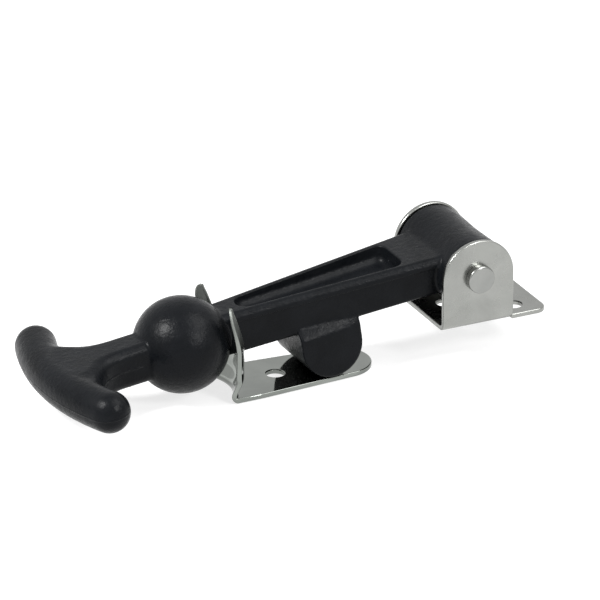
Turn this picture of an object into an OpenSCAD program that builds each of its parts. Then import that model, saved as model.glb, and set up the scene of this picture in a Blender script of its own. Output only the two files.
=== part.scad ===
// Rubber draw latch: a T-handled rubber strap that swings on a hinge bracket
// and drops its ball behind a forked keeper.
// X runs from the handle to the hinge, Y across the latch, Z away from the panel.
// The origin is the middle of the keeper's two holes, on its underside.

/* [Layout] */
// Distance from the hinge pin to the centre of the ball
strap_reach = 88.8; // [75:0.5:110]
// Height of the ball's centre above the keeper's panel
ball_seat_h = 16.7; // [15.5:0.1:20]
// How far the front of the ball reaches past the foot of the fork
ball_dip = 3.1; // [1:0.1:4]
// Height of the hinge bracket's panel above the keeper's panel
mount_step = 11.8; // [4:0.1:16]
// Thickness of the stainless sheet of both brackets
sheet_t = 1.5; // [1:0.1:2]

/* [Hinge bracket] */
// Width over the two ears
ear_span = 33.1; // [30:0.1:40]
// Length of an ear along the latch
ear_len = 22.9; // [22:0.1:30]
// Height of an ear above the panel
ear_h = 26.9; // [25:0.1:34]
// Outside radius of the bend under each ear
ear_bend_r = 2.6; // [2.1:0.1:4]
// Length of the tab behind the ears
tab_len = 11.6; // [9:0.1:16]
// Corner radius of the tab
tab_corner_r = 3.4; // [2:0.1:5]
// Diameter of the screw holes in both brackets
screw_hole_d = 5.4; // [4:0.1:6]
// Distance between the two holes in the tab
tab_hole_gap = 19.6; // [16:0.1:22]
// Distance from the tab's rear edge to its holes
tab_hole_inset = 8.3; // [6:0.1:9]
// Distance from the bracket's front edge to its front hole
front_hole_inset = 9; // [6:0.1:12]

/* [Hinge pin] */
// Diameter of the pin's shank
pin_d = 6; // [5:0.1:7]
// Radial clearance of the shank in the ears
pin_ear_gap = 0.04; // [0.02:0.01:0.1]
// Radial clearance of the shank in the rubber eye
pin_eye_gap = 0.06; // [0.03:0.01:0.1]
// Diameter of the pin's heads
head_d = 8.4; // [8:0.1:10]
// Height of each head
head_h = 2.2; // [1.5:0.1:3]
// Rounding of the rim of each head
head_round = 0.6; // [0.3:0.1:1]
// Gap between each head and its ear
head_gap = 0.05; // [0.02:0.01:0.2]

/* [Strap] */
// Outside diameter of the rubber eye at its ends
eye_d = 22; // [19:0.1:22.4]
// How much thinner the eye is at its waist
eye_waist = 0.6; // [0:0.1:1.6]
// Gap between each end of the eye and its ear
eye_side_gap = 0.3; // [0.2:0.05:0.8]
// Strap width beside the eye
strap_w_eye = 24.3; // [20:0.1:26]
// Strap width where it enters the ball
strap_w_ball = 11.2; // [9:0.1:12]
// Height of the strap's top face over its axis at the eye
top_eye = 7.2; // [6:0.1:8.4]
// Height of the strap's top face over its axis at the ball
top_ball = 7.3; // [6:0.1:8]
// Depth of the strap's bottom face under its axis at the eye
bottom_eye = 4; // [2:0.1:5]
// Depth of the strap's bottom face under its axis at the ball
bottom_ball = 5.9; // [5:0.1:6.5]
// Rounding of the strap's upper edges
edge_round = 2.2; // [1.4:0.1:2.6]
// Depth of the step below each rounded edge
side_step = 0.5; // [0.2:0.1:0.8]
// Diameter of the ball
ball_d = 28.6; // [27:0.1:30]

/* [Pocket] */
// Distance from the pin to the pocket's wide end
pocket_start = 19; // [16:0.5:24]
// Distance from the ball's centre to the pocket's narrow end
pocket_end_inset = 18.5; // [17:0.5:26]
// Width of the rubber rim beside the pocket
pocket_rim = 2.7; // [2.4:0.1:4]
// Depth of the pocket
pocket_depth = 5.2; // [3:0.1:6]
// Corner radius of the pocket's wide end
pocket_corner_r = 3.6; // [2:0.1:4.5]

/* [Bumper] */
// Distance from the pin to the middle of the bumper
bumper_at = 45.6; // [42:0.1:50]
// Length of the bumper along the strap
bumper_len = 19.2; // [14:0.1:20]
// Width of the bumper across the strap
bumper_w = 21.6; // [18:0.1:24]
// Rounding of the bumper's edges
bumper_round = 0.9; // [0.4:0.1:1.4]
// Gap between the bumper and the keeper's plate
bumper_gap = 0.25; // [0.15:0.05:0.5]

/* [Handle] */
// Distance from the ball's centre to the middle of the crossbar
handle_reach = 39.2; // [36:0.1:48]
// Length of the crossbar over its ends
bar_len = 63; // [50:0.1:72]
// Thickness of the crossbar
bar_d = 12.4; // [10:0.1:14]
// How far the crossbar's ends sweep back towards the ball
bar_bow = 4.3; // [0:0.1:8]
// Width of the neck behind the ball
neck_w = 11.8; // [9:0.1:14]
// Length of the flare that joins the neck to the crossbar
flare_len = 15; // [10:0.1:18]
// Half width that the flare adds on each side
flare_w = 10; // [6:0.1:13]

/* [Keeper] */
// Width over the fork's inner edges
fork_w = 24.4; // [22:0.1:25]
// Height of the fork's tips above the panel
fork_h = 29.8; // [28:0.1:34]
// Clearance between the ball and the middle of the dished fork
fork_gap = 2.4; // [2:0.1:3]
// Radius of the fork's dish
dish_r = 18; // [17:0.5:24]
// How far the fork's foot is drawn in under the ball
foot_in = 2.1; // [0.5:0.1:2.4]
// How far the tips lean back over the ball
tip_lean = 3.6; // [2:0.1:3.7]
// Height where the prongs start to lean back
lean_from = 16; // [14:0.5:20]
// Clearance between the neck and the fork's slot
slot_gap = 2.6; // [1.4:0.1:3]
// Inside radius of the bend at the fork's foot
foot_bend_r = 0.3; // [0.2:0.1:1]
// Length of the keeper from the fork's foot to its round end
keeper_len = 49.3; // [46:0.1:56]
// Radius of the keeper's round end
keeper_end_r = 9.5; // [8:0.1:11]
// Width of the keeper's plate at the fork
keeper_w = 24.8; // [22:0.1:26]
// Distance from the fork's foot to the first hole
keeper_hole_at = 19; // [16:0.1:22]
// Distance between the keeper's holes
keeper_hole_gap = 21; // [18:0.1:24]

/* [Hidden] */
$fn = 72;
rubber_black = [0.07, 0.075, 0.08];
steel_bright = [0.77, 0.78, 0.77];
pin_bright = [0.83, 0.84, 0.83];
cut = 1;

// The ball's seat fixes the strap's pose
ball_r = ball_d / 2;
foot_x = -(keeper_hole_at + keeper_hole_gap / 2);
ball_x = foot_x + ball_dip - ball_r;
pin_h = ear_h - ear_len / 2;
pin_z = mount_step + pin_h;
strap_tilt = asin((pin_z - ball_seat_h) / strap_reach);
pin_x = ball_x + strap_reach * cos(strap_tilt);

// Hinge bracket
ear_in = ear_span / 2 - sheet_t;
base_x0 = pin_x - ear_len / 2;
base_x1 = base_x0 + ear_len + tab_len;

// Strap stations, measured from the pin towards the ball
eye_half = ear_in - eye_side_gap;
body_u0 = 4;
body_u1 = strap_reach - ball_r * 0.72;
bumper_r = bumper_len / 2;
bumper_c = (pin_z - bumper_at * sin(strap_tilt) - sheet_t - bumper_gap - bumper_r) / cos(strap_tilt);
bumper_top = 0;
bar_u = strap_reach + handle_reach;
bar_r = bar_d / 2;
bar_half = bar_len / 2 - bar_r;

// Fork
fork_half = fork_w / 2;
fork_mid = ball_x + ball_r + fork_gap;
fork_z0 = sheet_t + foot_bend_r;
slot_half = strap_w_ball / 2 + slot_gap;
neck_low = pin_z - (pin_x - foot_x) * tan(strap_tilt) - bottom_ball;
slot_z = neck_low - 0.9;
foot_end = 10;

function mix(a, b, k) = a + (b - a) * k;
function clamp01(k) = max(0, min(1, k));
function smooth(k) = let (c = clamp01(k)) c * c * (3 - 2 * c);

// A closed solid through rings that all have the same number of points
module skin(rings) {
    n = len(rings[0]);
    m = len(rings);
    points = [for (ring = rings) for (p = ring) p];
    sides = [
        for (i = [0 : m - 2]) for (j = [0 : n - 1])
            let (k = (j + 1) % n)
            each [
                [i * n + j, i * n + k, (i + 1) * n + k],
                [i * n + j, (i + 1) * n + k, (i + 1) * n + j]
            ]
    ];
    first = [for (j = [n - 1 : -1 : 0]) j];
    last = [for (j = [0 : n - 1]) (m - 1) * n + j];
    polyhedron(points, concat([first], sides, [last]), convexity = 8);
}

// Moves the strap's own frame to the closed latch: pin at the origin, handle towards -X
module strap_pose() {
    translate([pin_x, 0, pin_z]) rotate([0, -strap_tilt, 0]) children();
}

// Strap section at distance u from the pin: rounded shoulders over stepped sides
function strap_k(u) = (u - body_u0) / (body_u1 - body_u0);
function strap_half(u) = mix(strap_w_eye, strap_w_ball, strap_k(u)) / 2;
function strap_top(u) = mix(top_eye, top_ball, strap_k(u));
function strap_bottom(u) = -mix(bottom_eye, bottom_ball, strap_k(u));
function strap_side(u) =
    let (
        h = strap_half(u),
        t = strap_top(u),
        b = strap_bottom(u),
        r = edge_round,
        s = side_step,
        q = 1.2
    )
    concat(
        [for (a = [90 : -15 : 0]) [h - r + r * cos(a), t - r + r * sin(a)]],
        [[h - s, t - r - 2 * s]],
        [for (a = [0 : -22.5 : -90]) [h - s - q + q * cos(a), b + q + q * sin(a)]]
    );
function mirrored(side) =
    concat(side, [for (i = [len(side) - 1 : -1 : 0]) [-side[i][0], side[i][1]]]);
function strap_ring(u) = [for (p = mirrored(strap_side(u))) [-u, p[0], p[1]]];

module strap_body() {
    skin([for (u = [body_u1, mix(body_u0, body_u1, 0.5), body_u0]) strap_ring(u)]);
}

// Outline of the pocket, drawn in by d on every side
function corner(cx, cy, r, a0, a1) =
    [for (i = [0 : 5]) let (a = mix(a0, a1, i / 5)) [cx + r * cos(a), cy + r * sin(a)]];
function pocket_outline(d) =
    let (
        u0 = pocket_start,
        u1 = strap_reach - pocket_end_inset,
        w0 = strap_half(u0) - pocket_rim,
        w1 = strap_half(u1) - pocket_rim,
        r0 = max(pocket_corner_r - d, 0.4),
        r1 = max(w1 - 0.2 - d, 0.25),
        lean = atan((w0 - w1) / (u1 - u0))
    )
    concat(
        corner(-(u0 + d + r0), w0 - d - r0, r0, 0, 90 + lean),
        corner(-(u1 - d - r1), w1 - d - r1, r1, 90 + lean, 180),
        corner(-(u1 - d - r1), -(w1 - d - r1), r1, 180, 270 - lean),
        corner(-(u0 + d + r0), -(w0 - d - r0), r0, 270 - lean, 360)
    );
function pocket_ring(d, depth) =
    [for (p = pocket_outline(d)) [p[0], p[1], strap_top(-p[0]) - depth]];

// The scooped pocket: drafted walls that round into its floor
module pocket() {
    deep = pocket_depth;
    skin([
        pocket_ring(-0.5, -cut),
        pocket_ring(0.1, 0.4),
        pocket_ring(0.4, deep * 0.45),
        pocket_ring(0.75, deep * 0.72),
        pocket_ring(1.15, deep * 0.9),
        pocket_ring(1.6, deep)
    ]);
}

// Side view of the bumper, drawn in by d
function bumper_outline(d) = concat(
    [[-(bumper_at - bumper_r + d), bumper_top - d]],
    [
        for (i = [0 : 24])
            let (a = -i * 7.5)
            [-bumper_at + (bumper_r - d) * cos(a), -bumper_c + (bumper_r - d) * sin(a)]
    ],
    [[-(bumper_at + bumper_r - d), bumper_top - d]]
);
function bumper_ring(y, d) = [for (p = bumper_outline(d)) [p[0], y, p[1]]];

module bumper() {
    h = bumper_w / 2;
    r = bumper_round;
    skin([
        for (a = [0 : 30 : 90]) bumper_ring(h - r + r * cos(a), r - r * sin(a)),
        for (a = [90 : -30 : 0]) bumper_ring(-h + r - r * cos(a), r - r * sin(a))
    ]);
}

// The waisted eye round the pin
module eye() {
    r = eye_d / 2;
    e = 0.8;
    rotate([90, 0, 0])
        rotate_extrude()
            polygon(concat(
                [[0, -eye_half], [r - e, -eye_half]],
                [for (a = [-60 : 30 : 0]) [r - e + e * cos(a), -eye_half + e + e * sin(a)]],
                [
                    for (i = [1 : 11])
                        let (k = i / 6 - 1)
                        [r - eye_waist / 2 * (1 + cos(180 * k)) / 2, (eye_half - e) * k]
                ],
                [for (a = [0 : 30 : 60]) [r - e + e * cos(a), eye_half - e + e * sin(a)]],
                [[r - e, eye_half], [0, eye_half]]
            ));
}

// Crossbar: a bowed bar with round ends
function bar_centre(y) = bar_u - bar_bow * pow(y / bar_half, 2);
function bar_ring(s) =
    let (
        y = clamp_bar(s),
        over = s - y,
        slope = atan(-2 * bar_bow * y / (bar_half * bar_half)),
        r = sqrt(max(0.01, bar_r * bar_r - over * over)),
        cu = bar_centre(y) + over * sin(slope),
        cy = y + over * cos(slope)
    )
    [
        for (a = [0 : 12 : 348])
            [-(cu + r * cos(a) * cos(slope)), cy - r * cos(a) * sin(slope), r * sin(a)]
    ];
function clamp_bar(s) = max(-bar_half, min(bar_half, s));

module crossbar() {
    e = bar_r;
    ends = [for (a = [82, 70, 56, 42, 28, 14]) e * sin(a)];
    skin(concat(
        [for (k = ends) bar_ring(bar_half + k)],
        [for (i = [6 : -1 : -6]) bar_ring(bar_half * i / 6)],
        [for (i = [5 : -1 : 0]) bar_ring(-bar_half - ends[i])]
    ));
}

// Neck section: a rounded block whose corners open out into the crossbar
function neck_side(w, h, r) = concat(
    [for (a = [90 : -15 : 0]) [w - r + r * cos(a), h - r + r * sin(a)]],
    [for (a = [0 : -15 : -90]) [w - r + r * cos(a), -h + r + r * sin(a)]]
);
function neck_ring(u, w, h, r) = [for (p = mirrored(neck_side(w, h, r))) [-u, p[0], p[1]]];

module handle_neck() {
    w = neck_w / 2;
    h = bar_r - 0.05;
    u0 = bar_centre(w + flare_w) - bar_r + 0.2 - flare_len;
    skin(concat(
        [neck_ring(bar_u - 0.4, w + flare_w * 0.6, h, h - 0.05)],
        [neck_ring(bar_u - 3.4, w + flare_w * 0.78, h, h - 0.05)],
        [
            for (a = [80 : -10 : 0])
                neck_ring(
                    u0 + flare_len * sin(a),
                    w + flare_w * (1 - cos(a)),
                    h,
                    mix(2.9, h - 0.05, smooth((1 - cos(a)) / 0.8))
                )
        ],
        [neck_ring(strap_reach + ball_r * 0.66, w, h, 2.9)]
    ));
}

module rubber_strap() {
    color(rubber_black)
        strap_pose()
            difference() {
                union() {
                    difference() {
                        strap_body();
                        pocket();
                    }
                    bumper();
                    eye();
                    translate([-strap_reach, 0, 0]) sphere(r = ball_r);
                    handle_neck();
                    crossbar();
                }
                rotate([90, 0, 0])
                    cylinder(r = pin_d / 2 + pin_eye_gap, h = ear_span + 2 * cut, center = true);
            }
}

// Tab with two rounded corners, seen from above, with a tongue that runs under the ears
module tab_outline(x0, x1, half, r) {
    translate([x0, -half]) square([x1 - x0 - r, 2 * half]);
    translate([x0, -half + r]) square([x1 - x0, 2 * (half - r)]);
    translate([x0 - 4, -half / 2]) square([8, half]);
    for (s = [-1, 1]) translate([x1 - r, s * (half - r)]) circle(r = r);
}

// Side view of the ears and their base: round tops over straight sides
module ear_outline() {
    r = ear_len / 2;
    circle(r = r);
    translate([-r, -(pin_h + cut)]) square([ear_len, pin_h + cut]);
}

// A trough with two rounded lower corners, seen along the latch
module trough(half, low, r) {
    top = ear_h + low + cut;
    translate([-half + r, low]) square([2 * (half - r), top - low]);
    translate([-half, low + r]) square([2 * half, top - low - r]);
    for (s = [-1, 1]) translate([s * (half - r), low + r]) circle(r = r);
}

// Base and ears: one sheet folded up on both sides
module folded_sheet() {
    half = ear_span / 2;
    intersection() {
        translate([base_x0 - cut, 0, mount_step])
            rotate([90, 0, 90])
                linear_extrude(ear_len + 2 * cut)
                    difference() {
                        trough(half, 0, ear_bend_r);
                        trough(half - sheet_t, sheet_t, ear_bend_r - sheet_t);
                    }
        translate([pin_x, half + cut, pin_z])
            rotate([90, 0, 0]) linear_extrude(ear_span + 2 * cut) ear_outline();
    }
}

module screw_hole(x, y) {
    translate([x, y, mount_step - cut]) cylinder(d = screw_hole_d, h = sheet_t + 2 * cut);
}

module mounting_bracket() {
    color(steel_bright)
        difference() {
            union() {
                folded_sheet();
                translate([0, 0, mount_step])
                    linear_extrude(sheet_t)
                        tab_outline(base_x0 + ear_len, base_x1, ear_span / 2 - 0.3, tab_corner_r);
            }
            translate([pin_x, 0, pin_z])
                rotate([90, 0, 0])
                    cylinder(r = pin_d / 2 + pin_ear_gap, h = ear_span + 2 * cut, center = true);
            screw_hole(base_x0 + front_hole_inset, 0);
            for (s = [-1, 1]) screw_hole(base_x1 - tab_hole_inset, s * tab_hole_gap / 2);
        }
}

// Half of the pin's outline: shank, then a head with a rounded rim
module hinge_pin() {
    inner = ear_span / 2 + head_gap;
    outer = inner + head_h;
    rim = [for (a = [0 : 15 : 90]) [head_d / 2 - head_round * (1 - cos(a)), outer - head_round * (1 - sin(a))]];
    color(pin_bright)
        translate([pin_x, 0, pin_z])
            rotate([90, 0, 0])
                rotate_extrude()
                    polygon(concat(
                        [[0, -outer]],
                        [for (i = [len(rim) - 1 : -1 : 0]) [rim[i][0], -rim[i][1]]],
                        [[head_d / 2, -inner], [pin_d / 2, -inner], [pin_d / 2, inner], [head_d / 2, inner]],
                        rim,
                        [[0, outer]]
                    ));
}

// The fork is one dished sheet that follows the ball, bent under into the plate.
// Row heights climb from the bend to the tips.
function fork_shift(z) =
    -foot_in * (1 - smooth((z - fork_z0) / (7 - fork_z0)))
    - tip_lean * pow(clamp01((z - lean_from) / (fork_h - lean_from)), 1.35);
function fork_x(y, z) = fork_mid + fork_shift(z) - dish_r + sqrt(dish_r * dish_r - y * y);
function fork_normal(y) = [sqrt(1 - pow(y / dish_r, 2)), y / dish_r];

// Outer edge and slot edge of each prong at height z
fork_tip_z = fork_h - 0.2;
function prong_out(z) =
    let (k = 0.97 * clamp01((z - fork_tip_z + 4) / 4))
    fork_half - 1.5 * (1 - smooth((z - fork_z0) / 7)) - 2.6 * (1 - sqrt(1 - k * k));
function prong_in(z) =
    z <= slot_z ? 0 :
    z < slot_z + slot_half ? sqrt(pow(slot_half, 2) - pow(slot_z + slot_half - z, 2)) :
    let (k = clamp01((z - slot_z - slot_half) / (fork_tip_z - slot_z - slot_half)))
    mix(slot_half, prong_out(fork_tip_z) - 0.9, 0.4 * k + 0.6 * pow(k, 3));

cols = 8;
low_rows = [for (i = [0 : 5]) mix(fork_z0, slot_z, i / 5)];
slot_rows = [for (a = [15 : 15 : 90]) slot_z + slot_half * (1 - cos(a))];
high_rows = [for (i = [1 : 9]) mix(slot_z + slot_half, fork_tip_z, sin(10 * i))];
rows = concat(low_rows, slot_rows, high_rows);
top_row = len(rows) - 1;
split_row = len(low_rows) - 1;
bend_steps = 5;

// Points of one face: rows from the plate's edge, round the bend and up to the tips
function col_y(z, j) =
    j <= cols ? -mix(prong_out(z), prong_in(z), j / cols)
              : mix(prong_in(z), prong_out(z), (j - cols - 1) / cols);
function plate_half(x) = let (b = plate_angle()) (keeper_w / 2) - (x - foot_x) * tan(b);
function upright_point(z, j, off) =
    let (y = col_y(z, j), n = fork_normal(y))
    [fork_x(y, z) + off * n[0], y + off * n[1], z];
function bend_point(a, j, off) =
    let (
        y = col_y(fork_z0, j),
        n = fork_normal(y),
        c = sheet_t + foot_bend_r,
        r = c - off
    )
    [
        fork_x(y, fork_z0) + (c - r * cos(a)) * n[0],
        y + (c - r * cos(a)) * n[1],
        c - r * sin(a)
    ];
function foot_point(j, off) =
    let (y = col_y(fork_z0, j) / prong_out(fork_z0), x = foot_x + foot_end)
    [x, y * (plate_half(x) - 0.05), off];
function sheet_row(i, off) =
    [
        for (j = [0 : 2 * cols + 1])
            i == 0 ? foot_point(j, off) :
            i <= bend_steps ? bend_point(90 - 90 * (i - 1) / bend_steps, j, off) :
            upright_point(rows[i - bend_steps - 1], j, off)
    ];

module fork() {
    w = 2 * cols + 2;
    count = bend_steps + 1 + len(rows);
    split = bend_steps + 1 + split_row;
    function at(i, j, side) =
        side * count * w + i * w + (j == cols + 1 && i <= split ? cols : j);
    points = concat(
        [for (i = [0 : count - 1]) each sheet_row(i, sheet_t)],
        [for (i = [0 : count - 1]) each sheet_row(i, 0)]
    );
    faces = [
        for (i = [0 : count - 2]) for (j = [0 : w - 2])
            if (j != cols)
                each [
                    [at(i, j, 0), at(i + 1, j, 0), at(i + 1, j + 1, 0)],
                    [at(i, j, 0), at(i + 1, j + 1, 0), at(i, j + 1, 0)],
                    [at(i, j, 1), at(i + 1, j + 1, 1), at(i + 1, j, 1)],
                    [at(i, j, 1), at(i, j + 1, 1), at(i + 1, j + 1, 1)]
                ],
        for (i = [0 : count - 2])
            each [
                [at(i, 0, 0), at(i, 0, 1), at(i + 1, 0, 1)],
                [at(i, 0, 0), at(i + 1, 0, 1), at(i + 1, 0, 0)],
                [at(i, w - 1, 0), at(i + 1, w - 1, 1), at(i, w - 1, 1)],
                [at(i, w - 1, 0), at(i + 1, w - 1, 0), at(i + 1, w - 1, 1)]
            ],
        for (i = [split : count - 2])
            each [
                [at(i, cols, 0), at(i + 1, cols, 1), at(i, cols, 1)],
                [at(i, cols, 0), at(i + 1, cols, 0), at(i + 1, cols, 1)],
                [at(i, cols + 1, 0), at(i, cols + 1, 1), at(i + 1, cols + 1, 1)],
                [at(i, cols + 1, 0), at(i + 1, cols + 1, 1), at(i + 1, cols + 1, 0)]
            ],
        for (j = [0 : w - 2])
            if (j != cols)
                each [
                    [at(0, j, 0), at(0, j + 1, 0), at(0, j + 1, 1)],
                    [at(0, j, 0), at(0, j + 1, 1), at(0, j, 1)],
                    [at(count - 1, j, 0), at(count - 1, j + 1, 1), at(count - 1, j + 1, 0)],
                    [at(count - 1, j, 0), at(count - 1, j, 1), at(count - 1, j + 1, 1)]
                ]
    ];
    polyhedron(points, faces, convexity = 8);
}

// Side taper of the plate: a straight edge that runs into the round end
side_r = keeper_end_r - 0.03;
function plate_angle() =
    let (d = keeper_len - keeper_end_r, w = keeper_w / 2)
    acos(side_r / sqrt(w * w + d * d)) - atan2(d, w);

module keeper_plate() {
    b = plate_angle();
    xe = foot_x + keeper_len - keeper_end_r;
    x0 = foot_x + foot_end - 1;
    edge = plate_half(x0);
    linear_extrude(sheet_t) {
        translate([xe, 0]) circle(r = keeper_end_r);
        polygon([
            [x0, -edge],
            [xe + side_r * sin(b), -side_r * cos(b)],
            [xe + side_r * sin(b), side_r * cos(b)],
            [x0, edge]
        ]);
    }
}

module keeper_bracket() {
    color(steel_bright)
        difference() {
            union() {
                fork();
                keeper_plate();
            }
            for (x = [keeper_hole_at, keeper_hole_at + keeper_hole_gap])
                translate([foot_x + x, 0, -cut]) cylinder(d = screw_hole_d, h = sheet_t + 2 * cut);
        }
}

mounting_bracket();
hinge_pin();
rubber_strap();
keeper_bracket();
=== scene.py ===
"""Looks of the rubber draw latch, in metres and in the part's own frame."""
import math

import bmesh
import bpy
import numpy as np
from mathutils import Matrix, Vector


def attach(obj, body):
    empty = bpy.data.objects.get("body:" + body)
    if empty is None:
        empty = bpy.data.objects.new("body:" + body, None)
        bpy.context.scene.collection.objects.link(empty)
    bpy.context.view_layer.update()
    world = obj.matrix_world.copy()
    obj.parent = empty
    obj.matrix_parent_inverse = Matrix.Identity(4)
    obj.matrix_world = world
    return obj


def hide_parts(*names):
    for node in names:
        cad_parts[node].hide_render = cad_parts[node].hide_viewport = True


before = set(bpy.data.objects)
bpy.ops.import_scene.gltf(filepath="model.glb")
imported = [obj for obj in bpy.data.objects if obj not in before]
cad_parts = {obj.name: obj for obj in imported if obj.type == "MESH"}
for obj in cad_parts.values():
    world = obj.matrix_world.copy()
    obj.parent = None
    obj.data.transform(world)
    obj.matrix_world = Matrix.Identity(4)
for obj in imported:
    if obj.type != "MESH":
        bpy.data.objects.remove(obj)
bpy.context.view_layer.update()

MM = 0.001

# Sizes in millimetres, the same as in the part's source
SHEET_T = 1.5
STRAP_REACH, BALL_SEAT_H, BALL_DIP, BALL_R = 88.8, 16.7, 3.1, 14.3
EAR_SPAN, EAR_LEN, EAR_H, EAR_BEND_R, MOUNT_STEP = 33.1, 22.9, 26.9, 2.6, 11.8
TAB_LEN, TAB_CORNER_R, SCREW_HOLE_R = 11.6, 3.4, 2.7
TAB_HOLE_GAP, TAB_HOLE_INSET, FRONT_HOLE_INSET = 19.6, 8.3, 9.0
PIN_R, HEAD_R, HEAD_H, HEAD_ROUND, HEAD_GAP = 3.0, 4.2, 2.2, 0.6, 0.05
EYE_R, EYE_WAIST, EYE_HALF = 11.0, 0.6, 14.75
STRAP_W_EYE, STRAP_W_BALL = 24.3, 11.2
TOP_EYE, TOP_BALL, LOW_EYE, LOW_BALL = 7.2, 7.3, 4.0, 5.9
EDGE_ROUND, SIDE_STEP = 2.2, 0.5
POCKET_START, POCKET_END_INSET, POCKET_RIM = 19.0, 18.5, 2.7
POCKET_DEPTH, POCKET_CORNER_R = 5.2, 3.6
BUMPER_AT, BUMPER_R, BUMPER_HALF, BUMPER_ROUND, BUMPER_GAP = 45.6, 9.6, 10.8, 0.9, 0.25
HANDLE_REACH, BAR_R, BAR_HALF, BAR_BOW = 39.2, 6.2, 25.3, 4.3
NECK_HALF, NECK_CORNER_R, FLARE_LEN = 5.9, 2.9, 15.0
FORK_HALF, FORK_H, FORK_GAP, DISH_R = 12.2, 29.8, 2.4, 18.0
FOOT_IN, TIP_LEAN, LEAN_FROM, SLOT_GAP, FOOT_BEND_R = 2.1, 3.6, 16.0, 2.6, 0.3
KEEPER_LEN, KEEPER_END_R, KEEPER_W, KEEPER_HOLE_AT, KEEPER_HOLE_GAP = 49.3, 9.5, 24.8, 19.0, 21.0
FOOT_END = 10.0

# Finer sizes of the visible surface, in millimetres, and a few shares
SHEET_EDGE_R, KEEPER_EDGE_R, HOLE_PLAY, HEAD_BREAK = 0.4, 0.36, 0.04, 0.12
LIP_H, LIP_FADE, LOWER_ROUND, LIP_CREASE = 0.55, 0.25, 1.2, 0.3
POCKET_RISE, POCKET_CROWN, POCKET_FLOOR_R, POCKET_DRAFT, POCKET_BREAK = 1.9, 0.5, 2.0, 0.13, 0.45
BUMPER_LEAN, BUMPER_FOOT_Z, BUMPER_LEAN_H = 0.6, -19, 12
BUMPER_SHOULDER_Z, BUMPER_SHOULDER_H = -7, 5
EYE_EDGE_R, BORE_PLAY, FLUSH = 0.8, 0.06, 0.02
FILLET_BUMPER, FILLET_EYE, FILLET_BALL = 0.5, 0.9, 0.7
FLARE_CREASE, FLARE_MID, FLARE_RUN, CORNER_RUN, BACK_RUN = 0.5, 3, 6, 8, 5
BODY_IN_BALL, TAPER_COS, POCKET_END_IN = 0.72, 0.996, 0.2
GRID_NARROW_FROM, GRID_NARROW_TO, GRID_WIDE_FROM = 76.0, 97, 113
PRONG_ROUND_H, PRONG_ROUND_IN, PRONG_TIP_W, FOOT_PINCH, FOOT_PINCH_H = 6, 3.1, 0.9, 1.5, 7
PRONG_THINNING, THINNING_FROM, THINNING_END_IN = 0.42, 16, 2
SLOT_PLAY, PLATE_PLAY = 0.9, 0.03
TAB_IN, TAB_OVERLAP, FLAT_PLAY = 0.3, 4, 0.05

FOOT_X = -(KEEPER_HOLE_AT + KEEPER_HOLE_GAP / 2)
PIN_Z = MOUNT_STEP + EAR_H - EAR_LEN / 2
TILT = math.asin((PIN_Z - BALL_SEAT_H) / STRAP_REACH)
BALL_X = FOOT_X + BALL_DIP - BALL_R
PIN_X = BALL_X + STRAP_REACH * math.cos(TILT)
BODY_U0, BODY_U1 = 4.0, STRAP_REACH - BALL_R * BODY_IN_BALL
BUMPER_C = (PIN_Z - BUMPER_AT * math.sin(TILT) - SHEET_T - BUMPER_GAP - BUMPER_R) / math.cos(TILT)
BAR_U = STRAP_REACH + HANDLE_REACH


def mix(a, b, k):
    return a + (b - a) * k


def smooth(k):
    c = np.clip(k, 0, 1)
    return c * c * (3 - 2 * c)


# ---- meshes ----

def new_piece(name, points_mm, faces):
    """A mesh object at the origin from points in millimetres."""
    mesh = bpy.data.meshes.new(name)
    mesh.from_pydata([Vector(p) * MM for p in points_mm], [], faces)
    mesh.validate()
    piece = bpy.data.objects.new(name, mesh)
    bpy.context.scene.collection.objects.link(piece)
    return piece


def apply_modifiers(piece):
    deps = bpy.context.evaluated_depsgraph_get()
    deps.update()
    mesh = bpy.data.meshes.new_from_object(piece.evaluated_get(deps), depsgraph=deps)
    piece.modifiers.clear()
    old = piece.data
    piece.data = mesh
    bpy.data.meshes.remove(old)
    mesh.name = piece.name


def combine(piece, tool, operation):
    """Joins, cuts or crosses the piece with a second solid, which is used up."""
    step = piece.modifiers.new("combine", "BOOLEAN")
    step.object, step.operation, step.solver = tool, operation, "EXACT"
    apply_modifiers(piece)
    bpy.data.objects.remove(tool)


def tidy_faces(piece, flat_angle=0.2):
    """Merges doubles and flat neighbours, and turns every face outwards."""
    bm = bmesh.new()
    bm.from_mesh(piece.data)
    bmesh.ops.remove_doubles(bm, verts=bm.verts, dist=2e-6)
    if flat_angle:
        bmesh.ops.dissolve_limit(
            bm, angle_limit=math.radians(flat_angle), verts=bm.verts, edges=bm.edges
        )
    bmesh.ops.recalc_face_normals(bm, faces=bm.faces)
    bm.to_mesh(piece.data)
    bm.free()


def round_edges(piece, width_mm, angle=38, steps=3):
    """Breaks the sharp edges of pressed sheet with a small even radius."""
    for face in piece.data.polygons:
        face.use_smooth = True
    bevel = piece.modifiers.new("broken_edges", "BEVEL")
    bevel.width, bevel.segments = width_mm * MM, steps
    bevel.limit_method, bevel.angle_limit = "ANGLE", math.radians(angle)
    bevel.use_clamp_overlap = False
    bevel.harden_normals = True
    apply_modifiers(piece)


def smooth_between(piece, sharp_angle):
    """Smooth shading with creases where faces meet at more than the angle in degrees."""
    limit = math.radians(sharp_angle)
    bm = bmesh.new()
    bm.from_mesh(piece.data)
    for face in bm.faces:
        face.smooth = True
    for edge in bm.edges:
        edge.smooth = len(edge.link_faces) < 2 or edge.calc_face_angle() < limit
    bm.to_mesh(piece.data)
    bm.free()


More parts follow.
